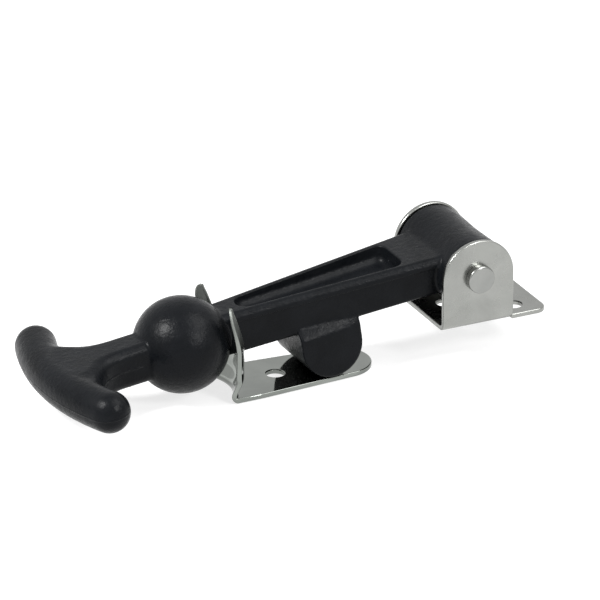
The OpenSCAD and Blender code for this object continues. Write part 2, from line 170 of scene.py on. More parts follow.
def prism(name, outline, axis, low, high):
    """A straight solid from an outline in millimetres, drawn along axis 0, 1 or 2."""
    others = [(1, 2), (0, 2), (0, 1)][axis]
    points = []
    for level in (low, high):
        for p in outline:
            point = [0, 0, 0]
            point[axis], point[others[0]], point[others[1]] = level, p[0], p[1]
            points.append(point)
    n = len(outline)
    faces = [tuple(range(n)), tuple(range(n, 2 * n))]
    faces += [(i, (i + 1) % n, n + (i + 1) % n, n + i) for i in range(n)]
    piece = new_piece(name, points, faces)
    tidy_faces(piece, flat_angle=0)
    return piece


def arc(cx, cy, r, start, end, steps):
    return [
        (cx + r * math.cos(a), cy + r * math.sin(a))
        for a in (math.radians(mix(start, end, i / steps)) for i in range(steps + 1))
    ]


def circle(cx, cy, r):
    """72 points, the first not repeated."""
    return arc(cx, cy, r, 0, 355, 71)


def drill(piece, x, y, low, high):
    """A screw hole straight down through the sheet."""
    combine(piece, prism("drill", circle(x, y, SCREW_HOLE_R), 2, low, high), "DIFFERENCE")


# ---- rubber: one moulded piece, drawn as the zero surface of a distance field ----

def blend_min(a, b, k):
    """Union with a soft fillet of size k."""
    h = np.clip(0.5 + 0.5 * (b - a) / k, 0, 1)
    return b + (a - b) * h - k * h * (1 - h)


def blend_max(a, b, k):
    return -blend_min(-a, -b, k)


def rounded_edge(a, b, r):
    """Two faces that meet in an outer edge with radius r."""
    qa, qb = a + r, b + r
    outside = np.hypot(np.maximum(qa, 0), np.maximum(qb, 0))
    return outside + np.minimum(np.maximum(qa, qb), 0) - r


def strap_half(u):
    return mix(STRAP_W_EYE, STRAP_W_BALL, (u - BODY_U0) / (BODY_U1 - BODY_U0)) / 2


def strap_field(u, y, z):
    """Tapered strap with rounded rims over stepped sides, and the scooped pocket."""
    k = (u - BODY_U0) / (BODY_U1 - BODY_U0)
    top, low = mix(TOP_EYE, TOP_BALL, k), -mix(LOW_EYE, LOW_BALL, k)
    side = np.abs(y) - strap_half(u)
    lip = rounded_edge(side, z - top, EDGE_ROUND)
    lip = blend_max(lip, top - EDGE_ROUND - LIP_H - z, LIP_FADE)
    wall = rounded_edge(side + SIDE_STEP, low - z, LOWER_ROUND)
    wall = np.maximum(wall, z - top + 1)
    body = blend_min(lip, wall, LIP_CREASE)

    start, end = POCKET_START, STRAP_REACH - POCKET_END_INSET
    wide, narrow = strap_half(start) - POCKET_RIM, strap_half(end) - POCKET_RIM
    edge = (np.abs(y) - mix(wide, narrow, (u - start) / (end - start))) * TAPER_COS
    plan = np.maximum(
        rounded_edge(edge, start - u, POCKET_CORNER_R),
        rounded_edge(edge, u - end, narrow - POCKET_END_IN),
    )
    rise = POCKET_RISE * np.clip((u - start) / (end - start), 0, 1)
    floor = top - POCKET_DEPTH + rise + POCKET_CROWN * (y / wide) ** 2
    pocket = rounded_edge(plan + POCKET_DRAFT * (top - z), floor - z, POCKET_FLOOR_R)
    body = blend_max(body, -pocket, POCKET_BREAK)
    return np.maximum(body, np.maximum(BODY_U0 - u, u - STRAP_REACH))


def bumper_field(u, y, z):
    """Round-bottomed block whose ends lean in and run up into the strap's sides."""
    along, up = u - BUMPER_AT, z + BUMPER_C
    outline = np.where(up > 0, np.abs(along), np.hypot(along, up)) - BUMPER_R
    lean = BUMPER_HALF - BUMPER_LEAN * np.clip((z - BUMPER_FOOT_Z) / BUMPER_LEAN_H, 0, 1)
    shoulder = smooth((z - BUMPER_SHOULDER_Z) / BUMPER_SHOULDER_H)
    half = mix(lean, strap_half(u) - SIDE_STEP - 0.1, shoulder)
    block = rounded_edge(outline, np.abs(y) - half, BUMPER_ROUND)
    return np.maximum(block, z)


def eye_field(u, y, z):
    k = np.clip(np.abs(y) / (EYE_HALF - EYE_EDGE_R), 0, 1)
    waist = EYE_WAIST / 4 * (1 + np.cos(np.pi * k))
    return rounded_edge(np.hypot(u, z) - EYE_R + waist, np.abs(y) - EYE_HALF, EYE_EDGE_R)


def handle_field(u, y, z):
    """Bowed crossbar that the neck opens out into."""
    across = np.abs(y)
    on_bar = np.minimum(across, BAR_HALF)
    for _ in range(4):
        centre = BAR_U - BAR_BOW * (on_bar / BAR_HALF) ** 2
        lean = -2 * BAR_BOW * on_bar / BAR_HALF ** 2
        on_bar = np.clip(across + (u - centre) * lean, 0, BAR_HALF)
    centre = BAR_U - BAR_BOW * (on_bar / BAR_HALF) ** 2
    bar = np.hypot(u - centre, across - on_bar) - BAR_R
    neck = np.maximum(across - NECK_HALF, u - centre)
    reach = mix(FLARE_LEN - 1, FLARE_CREASE, smooth((u - centre + FLARE_MID) / FLARE_RUN))
    plan = blend_min(bar, neck, reach)
    full = BAR_R - FLUSH
    inner = mix(NECK_CORNER_R, full, smooth((across - NECK_HALF - 1) / CORNER_RUN))
    r = mix(inner, full, smooth((u - centre + BACK_RUN) / BACK_RUN))
    return rounded_edge(plan, np.abs(z) - BAR_R, r)


def rubber_field(p):
    """Signed distance to the rubber in the strap's own frame, pin at the origin."""
    u, y, z = -p[0], p[1], p[2]
    rubber = blend_min(strap_field(u, y, z), bumper_field(u, y, z), FILLET_BUMPER)
    rubber = blend_min(rubber, eye_field(u, y, z), FILLET_EYE)
    handle = np.maximum(handle_field(u, y, z), STRAP_REACH - u)
    ball = np.sqrt((u - STRAP_REACH) ** 2 + y * y + z * z) - BALL_R
    ball = blend_min(ball, handle, FILLET_BALL)
    rubber = blend_min(rubber, ball, FILLET_BALL)
    return np.maximum(rubber, PIN_R + BORE_PLAY - np.hypot(u, z))


def levels(*stretches):
    """Grid levels from stretches (start, end, step)."""
    values = []
    for start, end, step in stretches:
        n = max(1, round((end - start) / step))
        values += [mix(start, end, i / n) for i in range(n)]
    values.append(stretches[-1][1])
    return np.array(values)


def grid_width(x):
    """The grid narrows with the strap, so that its rows run along the strap's edges."""
    narrow = strap_half(GRID_NARROW_FROM) / strap_half(BODY_U0)
    places = [BODY_U0, GRID_NARROW_FROM, GRID_NARROW_TO, GRID_WIDE_FROM]
    return np.interp(-x, places, [1, narrow, narrow, 1])


def net_surface(field, xs, ys, zs):
    """Quads through every grid cell that the field's zero surface crosses."""
    grid = np.meshgrid(xs, ys, zs, indexing="ij")
    grid[1] = grid[1] * grid_width(grid[0])
    grid = field(grid)
    solid = grid < 0
    corners = [(i, j, k) for i in (0, 1) for j in (0, 1) for k in (0, 1)]
    n = [len(xs) - 1, len(ys) - 1, len(zs) - 1]
    count = sum(
        solid[i:n[0] + i, j:n[1] + j, k:n[2] + k].astype(np.int8) for i, j, k in corners
    )
    cells = np.argwhere((count > 0) & (count < 8))
    index = -np.ones(n, np.int64)
    index[tuple(cells.T)] = np.arange(len(cells))
    place = np.zeros((len(cells), 3))
    hits = np.zeros(len(cells))
    lines = [(a, b) for a in range(8) for b in range(a + 1, 8) if bin(a ^ b).count("1") == 1]
    for a, b in lines:
        ca, cb = cells + corners[a], cells + corners[b]
        fa, fb = grid[tuple(ca.T)], grid[tuple(cb.T)]
        crossed = (fa < 0) != (fb < 0)
        k = np.where(crossed, fa / np.where(crossed, fa - fb, 1), 0)[:, None]
        pa, pb = (
            np.stack([xs[c[:, 0]], ys[c[:, 1]] * grid_width(xs[c[:, 0]]), zs[c[:, 2]]], 1)
            for c in (ca, cb)
        )
        place += np.where(crossed[:, None], pa + (pb - pa) * k, 0)
        hits += crossed
    place /= hits[:, None]
    quads = []
    for axis in range(3):
        step = np.eye(3, dtype=int)[axis]
        low = [slice(0, s - 1) if a == axis else slice(1, s - 1) for a, s in enumerate(solid.shape)]
        high = [slice(1, s) if a == axis else slice(1, s - 1) for a, s in enumerate(solid.shape)]
        inside, beyond = solid[tuple(low)], solid[tuple(high)]
        right, up = np.eye(3, dtype=int)[(axis + 1) % 3], np.eye(3, dtype=int)[(axis + 2) % 3]
        for crossing, order in ((inside & ~beyond, 1), (~inside & beyond, -1)):
            at = np.argwhere(crossing) + (1 - step)
            ring = [at - right - up, at - up, at, at - right][::order]
            quads.append(np.stack([index[tuple(c.T)] for c in ring], 1))
    return place, np.concatenate(quads)


def field_slope(field, points, e=1e-3):
    """How the field changes along each axis at the points: the way out of the solid."""
    steps = np.eye(3) * e
    rises = [(field((points + d).T) - field((points - d).T)) / (2 * e) for d in steps]
    return np.stack(rises, 1)


def settle(field, points, rounds=4, reach=0.3):
    """Moves points onto the field's zero surface."""
    for _ in range(rounds):
        value = field(points.T)
        slope = field_slope(field, points)
        move = slope * (value / np.maximum((slope ** 2).sum(1), 0.05))[:, None]
        length = np.linalg.norm(move, axis=1, keepdims=True)
        points = points - move * np.minimum(1, reach / np.maximum(length, 1e-9))
    return points


def place_strap(vectors, origin=(0, 0)):
    """Turns vectors from the strap's frame, pin at the origin, to the closed strap's tilt."""
    c, s = math.cos(TILT), math.sin(TILT)
    x, y, z = vectors.T
    return np.stack([origin[0] + x * c - z * s, y, origin[1] + x * s + z * c], 1)


def make_strap():
    """Grid stretches run in the strap's frame, finer where the rubber has corners."""
    far, low = -(BAR_U + BAR_R), -(BUMPER_C + BUMPER_R)
    half = BAR_HALF + BAR_R + 0.6
    xs = levels(
        (far - 0.7, -98, 0.62), (-98, -72, 0.6), (-72, -60, 0.55), (-60, -24, 0.75),
        (-24, -7, 0.5), (-7, EYE_R + 0.7, 0.55),
    )
    ys = levels(
        (-half, -15.4, 0.75), (-15.4, -13.5, 0.3), (-13.5, 13.5, 0.47), (13.5, 15.4, 0.3),
        (15.4, half, 0.75),
    )
    zs = levels((low - 0.7, -7.5, 0.65), (-7.5, 3.8, 0.5), (3.8, 7.7, 0.27), (7.7, 15.2, 0.55))
    # The grid is shifted a little, so that no level lies in a flat face
    points, quads = net_surface(rubber_field, xs + 0.013, ys, zs + 0.007)
    points = settle(rubber_field, points)
    placed = place_strap(points, (PIN_X, PIN_Z))
    mesh = bpy.data.meshes.new("moulded_strap")
    mesh.from_pydata((placed * MM).tolist(), [], quads.tolist())
    mesh.validate()
    mesh.polygons.foreach_set("use_smooth", [True] * len(mesh.polygons))
    slope = field_slope(rubber_field, points)
    slope /= np.linalg.norm(slope, axis=1, keepdims=True)
    mesh.normals_split_custom_set_from_vertices(place_strap(slope).tolist())
    piece = bpy.data.objects.new("moulded_strap", mesh)
    bpy.context.scene.collection.objects.link(piece)
    return piece


# ---- keeper: one dished sheet bent under into the plate ----

FORK_MID = BALL_X + BALL_R + FORK_GAP
FORK_Z0 = SHEET_T + FOOT_BEND_R
SLOT_HALF = STRAP_W_BALL / 2 + SLOT_GAP
SLOT_Z = PIN_Z - (PIN_X - FOOT_X) * math.tan(TILT) - LOW_BALL - SLOT_PLAY
TIP_Z = FORK_H - 0.2
SLOT_TOP = SLOT_Z + SLOT_HALF


def clamp01(k):
    return max(0.0, min(1.0, k))


def fork_x(y, z):
    """The dish's near face: pressed in at the foot, and leaning back towards the tips."""
    shift = -FOOT_IN * (1 - smooth((z - FORK_Z0) / (FOOT_PINCH_H - FORK_Z0)))
    shift -= TIP_LEAN * clamp01((z - LEAN_FROM) / (FORK_H - LEAN_FROM)) ** 1.35
    return FORK_MID + shift - DISH_R + math.sqrt(DISH_R ** 2 - y * y)


def fork_normal(y):
    """The dish's way out, along x and y."""
    return math.sqrt(1 - (y / DISH_R) ** 2), y / DISH_R


def prong_out(z):
    """Outer edge: drawn in at the foot and rounded off towards the tip."""
    k = 0.97 * clamp01((z - TIP_Z + PRONG_ROUND_H) / PRONG_ROUND_H)
    pinch = FOOT_PINCH * (1 - smooth((z - FORK_Z0) / FOOT_PINCH_H))
    return FORK_HALF - pinch - PRONG_ROUND_IN * (1 - math.sqrt(1 - k * k))


def prong_in(z):
    """Edge of the U slot between the prongs, and then of each prong up to its tip."""
    if z <= SLOT_Z + 1e-9:
        return 0.0
    if z < SLOT_TOP:
        return math.sqrt(max(0.0, SLOT_HALF ** 2 - (SLOT_TOP - z) ** 2))
    k = clamp01((z - SLOT_TOP) / (TIP_Z - SLOT_TOP))
    return mix(SLOT_HALF, prong_out(TIP_Z) - PRONG_TIP_W, 0.4 * k + 0.6 * k ** 3)


PLATE_RUN = KEEPER_LEN - KEEPER_END_R
PLATE_ANGLE = math.acos(
    (KEEPER_END_R - PLATE_PLAY) / math.hypot(KEEPER_W / 2, PLATE_RUN)
) - math.atan2(PLATE_RUN, KEEPER_W / 2)


def plate_half(x):
    """Half the width of the plate, which narrows from the foot to its round end."""
    return KEEPER_W / 2 - (x - FOOT_X) * math.tan(PLATE_ANGLE)


def make_keeper():
    """Rows run from the plate over the bend at the foot up the fork, on both faces."""
    cols, bend_steps = 12, 8
    low = [mix(FORK_Z0, SLOT_Z, i / 14) for i in range(15)]
    turns = np.radians(np.linspace(7.5, 90, 12))
    slot = [SLOT_Z + SLOT_HALF * (1 - math.cos(a)) for a in turns]
    high = [mix(SLOT_TOP, TIP_Z, math.sin(math.radians(90 * i / 24))) for i in range(1, 25)]
    heights = low + slot + high

    def col_y(z, j):
        if j <= cols:
            return -mix(prong_out(z), prong_in(z), j / cols)
        return mix(prong_in(z), prong_out(z), (j - cols - 1) / cols)

    def row(i, off):
        points = []
        for j in range(2 * cols + 2):
            if i == 0:
                y = col_y(FORK_Z0, j) / prong_out(FORK_Z0)
                y *= plate_half(FOOT_X + FOOT_END) - FLUSH
                points.append((FOOT_X + FOOT_END, y, off))
            elif i <= bend_steps:
                a = math.radians(90 - 90 * (i - 1) / bend_steps)
                y = col_y(FORK_Z0, j)
                n, c = fork_normal(y), SHEET_T + FOOT_BEND_R
                d, z = c - (c - off) * math.cos(a), c - (c - off) * math.sin(a)
                points.append((fork_x(y, FORK_Z0) + d * n[0], y + d * n[1], z))
            else:
                z = heights[i - bend_steps - 1]
                y = col_y(z, j)
                n = fork_normal(y)
                k = (z - THINNING_FROM) / (TIP_Z - THINNING_FROM - THINNING_END_IN)
                thin = mix(off, SHEET_T / 2, PRONG_THINNING * smooth(k))
                points.append((fork_x(y, z) + thin * n[0], y + thin * n[1], z))
        return points

    width = 2 * cols + 2
    count = bend_steps + 1 + len(heights)
    split = bend_steps + len(low)
    points = [p for off in (SHEET_T, 0) for i in range(count) for p in row(i, off)]

    def at(i, j, side):
        return side * count * width + i * width + (cols if j == cols + 1 and i <= split else j)

    faces = []
    for i in range(count - 1):
        for j in range(width - 1):
            if j != cols:
                for side in (0, 1):
                    near = at(i, j, side), at(i, j + 1, side)
                    faces.append((*near, at(i + 1, j + 1, side), at(i + 1, j, side)))
        for j in (0, width - 1):
            faces.append((at(i, j, 0), at(i, j, 1), at(i + 1, j, 1), at(i + 1, j, 0)))
        if i >= split:
            for j in (cols, cols + 1):
                faces.append((at(i, j, 0), at(i, j, 1), at(i + 1, j, 1), at(i + 1, j, 0)))
    tip = count - 1
    for j in range(width - 1):
        if j != cols:
            faces.append((at(tip, j, 0), at(tip, j + 1, 0), at(tip, j + 1, 1), at(tip, j, 1)))

    # The plate runs on from the foot's row to its round end
    turn = math.degrees(PLATE_ANGLE)
    end = arc(FOOT_X + PLATE_RUN, 0, KEEPER_END_R, -(90 - turn), 90 - turn, 60)
    foot = [j for j in range(width) if j != cols + 1]
    rings = []
    for side, z in ((0, SHEET_T), (1, 0)):
        first = len(points)
        points += [(x, y, z) for x, y in end]
        rings.append(list(range(first, len(points))) + [at(0, j, side) for j in reversed(foot)])
        faces.append(tuple(rings[-1]))
    for a in range(len(end) - 1):
        faces.append((rings[0][a], rings[0][a + 1], rings[1][a + 1], rings[1][a]))
    for a, j in ((0, 0), (len(end) - 1, width - 1)):
        faces.append((rings[0][a], rings[1][a], at(0, j, 1), at(0, j, 0)))

    piece = new_piece("forked_keeper", points, faces)
    tidy_faces(piece, flat_angle=0)
    for x in (-KEEPER_HOLE_GAP / 2, KEEPER_HOLE_GAP / 2):
        drill(piece, x, 0, -1, SHEET_T + 1)
    tidy_faces(piece, flat_angle=0)
    round_edges(piece, KEEPER_EDGE_R, angle=50, steps=4)
    return piece


# ---- hinge bracket: one folded sheet ----

def make_bracket():
    half, x0 = EAR_SPAN / 2, PIN_X - EAR_LEN / 2
    x1, r, q = x0 + EAR_LEN, EAR_BEND_R, EAR_BEND_R - SHEET_T
    top, bottom = PIN_Z + EAR_LEN, MOUNT_STEP
    bend = half - r, bottom + r
    trough = arc(-bend[0], bend[1], r, 180, 270, 12) + arc(*bend, r, 270, 360, 12)
    trough += [(half, top), (half - SHEET_T, top)]
    trough += arc(*bend, q, 360, 270, 12) + arc(-bend[0], bend[1], q, 270, 180, 12)
    trough += [(-half + SHEET_T, top), (-half, top)]
    piece = prism("folded_bracket", trough, 0, x0 - 1, x1 + 1)
    ear = arc(PIN_X, PIN_Z, EAR_LEN / 2, 0, 180, 72) + [(x0, bottom - 1), (x1, bottom - 1)]
    combine(piece, prism("ear_side", ear, 1, -half - 1, half + 1), "INTERSECT")
    pin_hole = circle(PIN_X, PIN_Z, PIN_R + HOLE_PLAY)
    combine(piece, prism("pin_hole", pin_hole, 1, -half - 1, half + 1), "DIFFERENCE")
    drill(piece, x0 + FRONT_HOLE_INSET, 0, bottom - 1, bottom + SHEET_T + 1)
    tidy_faces(piece)
    round_edges(piece, SHEET_EDGE_R, angle=30, steps=4)

    # The tab is rounded by itself and reaches into the fold, so that no edge shows between them
    tab_x, tab_half, flat, c = x1 + TAB_LEN, half - TAB_IN, half - r - FLAT_PLAY, TAB_CORNER_R
    inner = x1 - SHEET_EDGE_R
    tab = [(x1 - TAB_OVERLAP, -flat), (inner, -flat), (inner, -tab_half)]
    tab += arc(tab_x - c, -tab_half + c, c, -90, 0, 16) + arc(tab_x - c, tab_half - c, c, 0, 90, 16)
    tab += [(x, -y) for x, y in reversed(tab[:3])]
    tab = prism("tab", tab, 2, bottom, bottom + SHEET_T)
    hole_x = tab_x - TAB_HOLE_INSET
    for y in (-TAB_HOLE_GAP / 2, TAB_HOLE_GAP / 2):
        drill(tab, hole_x, y, bottom - 1, bottom + SHEET_T + 1)
    tidy_faces(tab)
    round_edges(tab, SHEET_EDGE_R, angle=30, steps=4)
    combine(piece, tab, "UNION")
    tidy_faces(piece)
    smooth_between(piece, 30)
    even = piece.modifiers.new("flat_faces_stay_flat", "WEIGHTED_NORMAL")
    even.keep_sharp, even.weight = True, 90
    apply_modifiers(piece)
    return piece


# ---- hinge pin: an outline turned round the pin's axis by a node tree ----

def named_input(tree, name, kind, value):
    socket = tree.interface.new_socket(name=name, in_out="INPUT", socket_type=kind)
    if value is not None:
        socket.default_value = value
    return socket.identifier


def turning_tree():
    """Turns an outline (distance from the axis, place along it) round the Y axis."""
    tree = bpy.data.node_groups.new("turned_outline", "GeometryNodeTree")
    tree.interface.new_socket(name="Outline", in_out="INPUT", socket_type="NodeSocketGeometry")
    ids = {
        "Segments": named_input(tree, "Segments", "NodeSocketInt", 96),
        "Centre": named_input(tree, "Centre", "NodeSocketVector", (0, 0, 0)),
        "Material": named_input(tree, "Material", "NodeSocketMaterial", None),
    }
    tree.interface.new_socket(name="Turned", in_out="OUTPUT", socket_type="NodeSocketGeometry")
    put, join = tree.nodes.new, tree.links.new

    def maths(operation, a, b=None):
        made = put("ShaderNodeMath")
        made.operation = operation
        for slot, value in ((0, a), (1, b)):
            if isinstance(value, (int, float)):
                made.inputs[slot].default_value = value
            elif value is not None:
                join(value, made.inputs[slot])
        return made.outputs[0]

    given, result = put("NodeGroupInput"), put("NodeGroupOutput")
    size = put("GeometryNodeAttributeDomainSize")
    join(given.outputs["Outline"], size.inputs[0])
    rings = size.outputs["Point Count"]
    grid = put("GeometryNodeMeshGrid")
    grid.inputs["Size X"].default_value = grid.inputs["Size Y"].default_value = 1
    join(maths("ADD", given.outputs["Segments"], 1), grid.inputs["Vertices X"])
    join(rings, grid.inputs["Vertices Y"])
    place, parts = put("GeometryNodeInputPosition"), put("ShaderNodeSeparateXYZ")
    join(place.outputs[0], parts.inputs[0])
    turn = maths("MULTIPLY", maths("ADD", parts.outputs["X"], 0.5), 2 * math.pi)
    step = maths("MULTIPLY", maths("ADD", parts.outputs["Y"], 0.5), maths("SUBTRACT", rings, 1))
    sample, here = put("GeometryNodeSampleIndex"), put("GeometryNodeInputPosition")
    sample.data_type, sample.domain = "FLOAT_VECTOR", "POINT"
    join(given.outputs["Outline"], sample.inputs["Geometry"])
    join(here.outputs[0], sample.inputs["Value"])
    join(maths("ROUND", step), sample.inputs["Index"])
    drawn = put("ShaderNodeSeparateXYZ")
    join(sample.outputs[0], drawn.inputs[0])
    spot = put("ShaderNodeCombineXYZ")
    join(maths("MULTIPLY", drawn.outputs["X"], maths("COSINE", turn)), spot.inputs["X"])
    join(drawn.outputs["Y"], spot.inputs["Y"])
    join(maths("MULTIPLY", drawn.outputs["X"], maths("SINE", turn)), spot.inputs["Z"])
    moved = put("ShaderNodeVectorMath")
    moved.operation = "ADD"
    join(spot.outputs[0], moved.inputs[0])
    join(given.outputs["Centre"], moved.inputs[1])
    shaped, merged = put("GeometryNodeSetPosition"), put("GeometryNodeMergeByDistance")
    join(grid.outputs["Mesh"], shaped.inputs["Geometry"])
    join(moved.outputs[0], shaped.inputs["Position"])
    merged.inputs["Distance"].default_value = 1e-6
    join(shaped.outputs[0], merged.inputs["Geometry"])
    real, painted = put("GeometryNodeRealizeInstances"), put("GeometryNodeSetMaterial")
    join(merged.outputs[0], real.inputs[0])
    join(real.outputs[0], painted.inputs["Geometry"])
    join(given.outputs["Material"], painted.inputs["Material"])
    join(painted.outputs[0], result.inputs[0])
    return tree, ids


def make_pin(finish):
    """A shank with a round-edged head at each end."""
    inner = EAR_SPAN / 2 + HEAD_GAP
    outer = inner + HEAD_H
    rim = arc(HEAD_R - HEAD_ROUND, outer - HEAD_ROUND, HEAD_ROUND, 0, 90, 8)
    end = [(HEAD_R - HEAD_BREAK, inner), (HEAD_R, inner + HEAD_BREAK)] + rim
    end += [(HEAD_R * k, outer) for k in (0.7, 0.35)] + [(0, outer)]
    shank = [(PIN_R, inner * k) for k in (-0.66, -0.33, 0, 0.33, 0.66)]
    side = [(PIN_R, inner)] + end
    outline = [(x, -y) for x, y in reversed(side)] + shank + side
    piece = new_piece("rivet_pin", [(x, y, 0) for x, y in outline], [])
    tree, ids = turning_tree()
    turned = piece.modifiers.new("turned", "NODES")
    turned.node_group = tree
    turned[ids["Segments"]] = 96
    turned[ids["Centre"]] = (PIN_X * MM, 0.0, PIN_Z * MM)
    turned[ids["Material"]] = finish
    apply_modifiers(piece)
    tidy_faces(piece, flat_angle=0)
    smooth_between(piece, 32)
    return piece


# ---- shared effects ----

def effect(name, inputs, outputs):
    """An empty shader node group with named inputs and outputs."""
    tree = bpy.data.node_groups.new(name, "ShaderNodeTree")
    for label, kind, value in inputs:
        socket = tree.interface.new_socket(name=label, in_out="INPUT", socket_type=kind)
        if value is not None:
            socket.default_value = value
    for label in outputs:
        tree.interface.new_socket(name=label, in_out="OUTPUT", socket_type="NodeSocketFloat")
    return tree, tree.nodes.new("NodeGroupInput"), tree.nodes.new("NodeGroupOutput")


def add_node(tree, kind, **settings):
    made = tree.nodes.new(kind)
    for key, value in settings.items():
        if key in made.inputs:
            made.inputs[key].default_value = value
        else:
            setattr(made, key, value)
    return made


def grain_effect():
    """Fine moulded grain with a soft larger wave under it."""
    tree, given, result = effect(
        "moulded_grain",
        [("Place", "NodeSocketVector", None), ("Grains per metre", "NodeSocketFloat", 3000.0),
         ("Wave share", "NodeSocketFloat", 0.4)],
        ["Height", "Blotch"],
    )
    fine = add_node(tree, "ShaderNodeTexNoise", Detail=3.0, Roughness=0.6)
    wave = add_node(tree, "ShaderNodeTexNoise", Scale=700.0, Detail=4.0, Roughness=0.6)
    both = add_node(tree, "ShaderNodeMix", data_type="FLOAT")
    tree.links.new(given.outputs["Place"], fine.inputs["Vector"])
    tree.links.new(given.outputs["Grains per metre"], fine.inputs["Scale"])
    tree.links.new(given.outputs["Place"], wave.inputs["Vector"])
    tree.links.new(given.outputs["Wave share"], both.inputs["Factor"])
    tree.links.new(fine.outputs[0], both.inputs["A"])
    tree.links.new(wave.outputs[0], both.inputs["B"])
    tree.links.new(both.outputs["Result"], result.inputs["Height"])
    tree.links.new(wave.outputs[0], result.inputs["Blotch"])
    return tree


def smudge_effect():
    """A cloudy value between two ends, as hands and dust leave it."""
    tree, given, result = effect(
        "smudges",
        [("Place", "NodeSocketVector", None), ("Clouds per metre", "NodeSocketFloat", 60.0),
         ("Least", "NodeSocketFloat", 0.3), ("Most", "NodeSocketFloat", 0.6)],
        ["Value"],
    )
    cloud = add_node(tree, "ShaderNodeTexNoise", Detail=5.0, Roughness=0.62, Distortion=0.6)
    spread = add_node(tree, "ShaderNodeMapRange")
    spread.inputs["From Min"].default_value, spread.inputs["From Max"].default_value = 0.32, 0.68
    tree.links.new(given.outputs["Place"], cloud.inputs["Vector"])
    tree.links.new(given.outputs["Clouds per metre"], cloud.inputs["Scale"])
    tree.links.new(cloud.outputs[0], spread.inputs["Value"])
    tree.links.new(given.outputs["Least"], spread.inputs["To Min"])
    tree.links.new(given.outputs["Most"], spread.inputs["To Max"])
    tree.links.new(spread.outputs[0], result.inputs["Value"])
    return tree


def rolled_effect():
    """Fine rolling lines of sheet steel, drawn out along X."""
    tree, given, result = effect(
        "rolling_lines",
        [("Place", "NodeSocketVector", None), ("Lines per metre", "NodeSocketFloat", 2500.0)],
        ["Height"],
    )
    stretch = add_node(tree, "ShaderNodeMapping")
    stretch.inputs["Scale"].default_value = (0.02, 1, 1)
    lines = add_node(tree, "ShaderNodeTexNoise", Detail=2.0, Roughness=0.5)
    tree.links.new(given.outputs["Place"], stretch.inputs["Vector"])
    tree.links.new(stretch.outputs[0], lines.inputs["Vector"])
    tree.links.new(given.outputs["Lines per metre"], lines.inputs["Scale"])
    tree.links.new(lines.outputs[0], result.inputs["Height"])
    return tree


GRAIN, SMUDGES, ROLLED = grain_effect(), smudge_effect(), rolled_effect()


def use_effect(tree, group, place, **values):
    made = tree.nodes.new("ShaderNodeGroup")
    made.node_tree = group
    tree.links.new(place, made.inputs["Place"])
    for key, value in values.items():
        made.inputs[key.replace("_", " ")].default_value = value
    return made


def smudges(tree, place, clouds_per_metre, least=0.0, most=1.0):
    return use_effect(
        tree, SMUDGES, place, Clouds_per_metre=clouds_per_metre, Least=least, Most=most
    )


def blend_colours(tree, factor, first, second):
    made = tree.nodes.new("ShaderNodeMix")
    made.data_type = "RGBA"
    made.inputs["A"].default_value = (*first, 1)
    made.inputs["B"].default_value = (*second, 1)
    tree.links.new(factor, made.inputs["Factor"])
    return made.outputs["Result"]


def new_finish(name):
    material = bpy.data.materials.new(name)
    material.use_nodes = True
    tree = material.node_tree
    shader = tree.nodes["Principled BSDF"]
    place = tree.nodes.new("ShaderNodeTexCoord").outputs["Object"]
    return material, tree, shader, place


# Colours are linear, and roughness runs from the least to the most
RUBBER_DARK, RUBBER_DUSTY = (0.0030, 0.0035, 0.0043), (0.0062, 0.0070, 0.0084)
RUBBER_ROUGH, RUBBER_SHINE = (0.22, 0.40), 0.08
# The parting line in metres: its core, and the least and most it spreads to
SEAM_CORE, SEAM_SPREAD = 0.00005, (0.00012, 0.0006)
SATIN_DULL, SATIN_BRIGHT, SATIN_ROUGH = (0.245, 0.25, 0.237), (0.30, 0.305, 0.29), (0.22, 0.32)
MIRROR_DULL, MIRROR_BRIGHT = (0.185, 0.197, 0.184), (0.232, 0.245, 0.229)
MIRROR_ROUGH = (0.05, 0.12)
PIN_DULL, PIN_BRIGHT, PIN_ROUGH = (0.225, 0.23, 0.221), (0.275, 0.28, 0.268), (0.16, 0.22)
# The keeper loses its polish between these heights in metres, by this much roughness
SATIN_ABOVE, SATIN_MORE = (0.010, 0.026), 0.45
SATIN_LINES, POLISHED_LINES = 0.00002, 0.000002


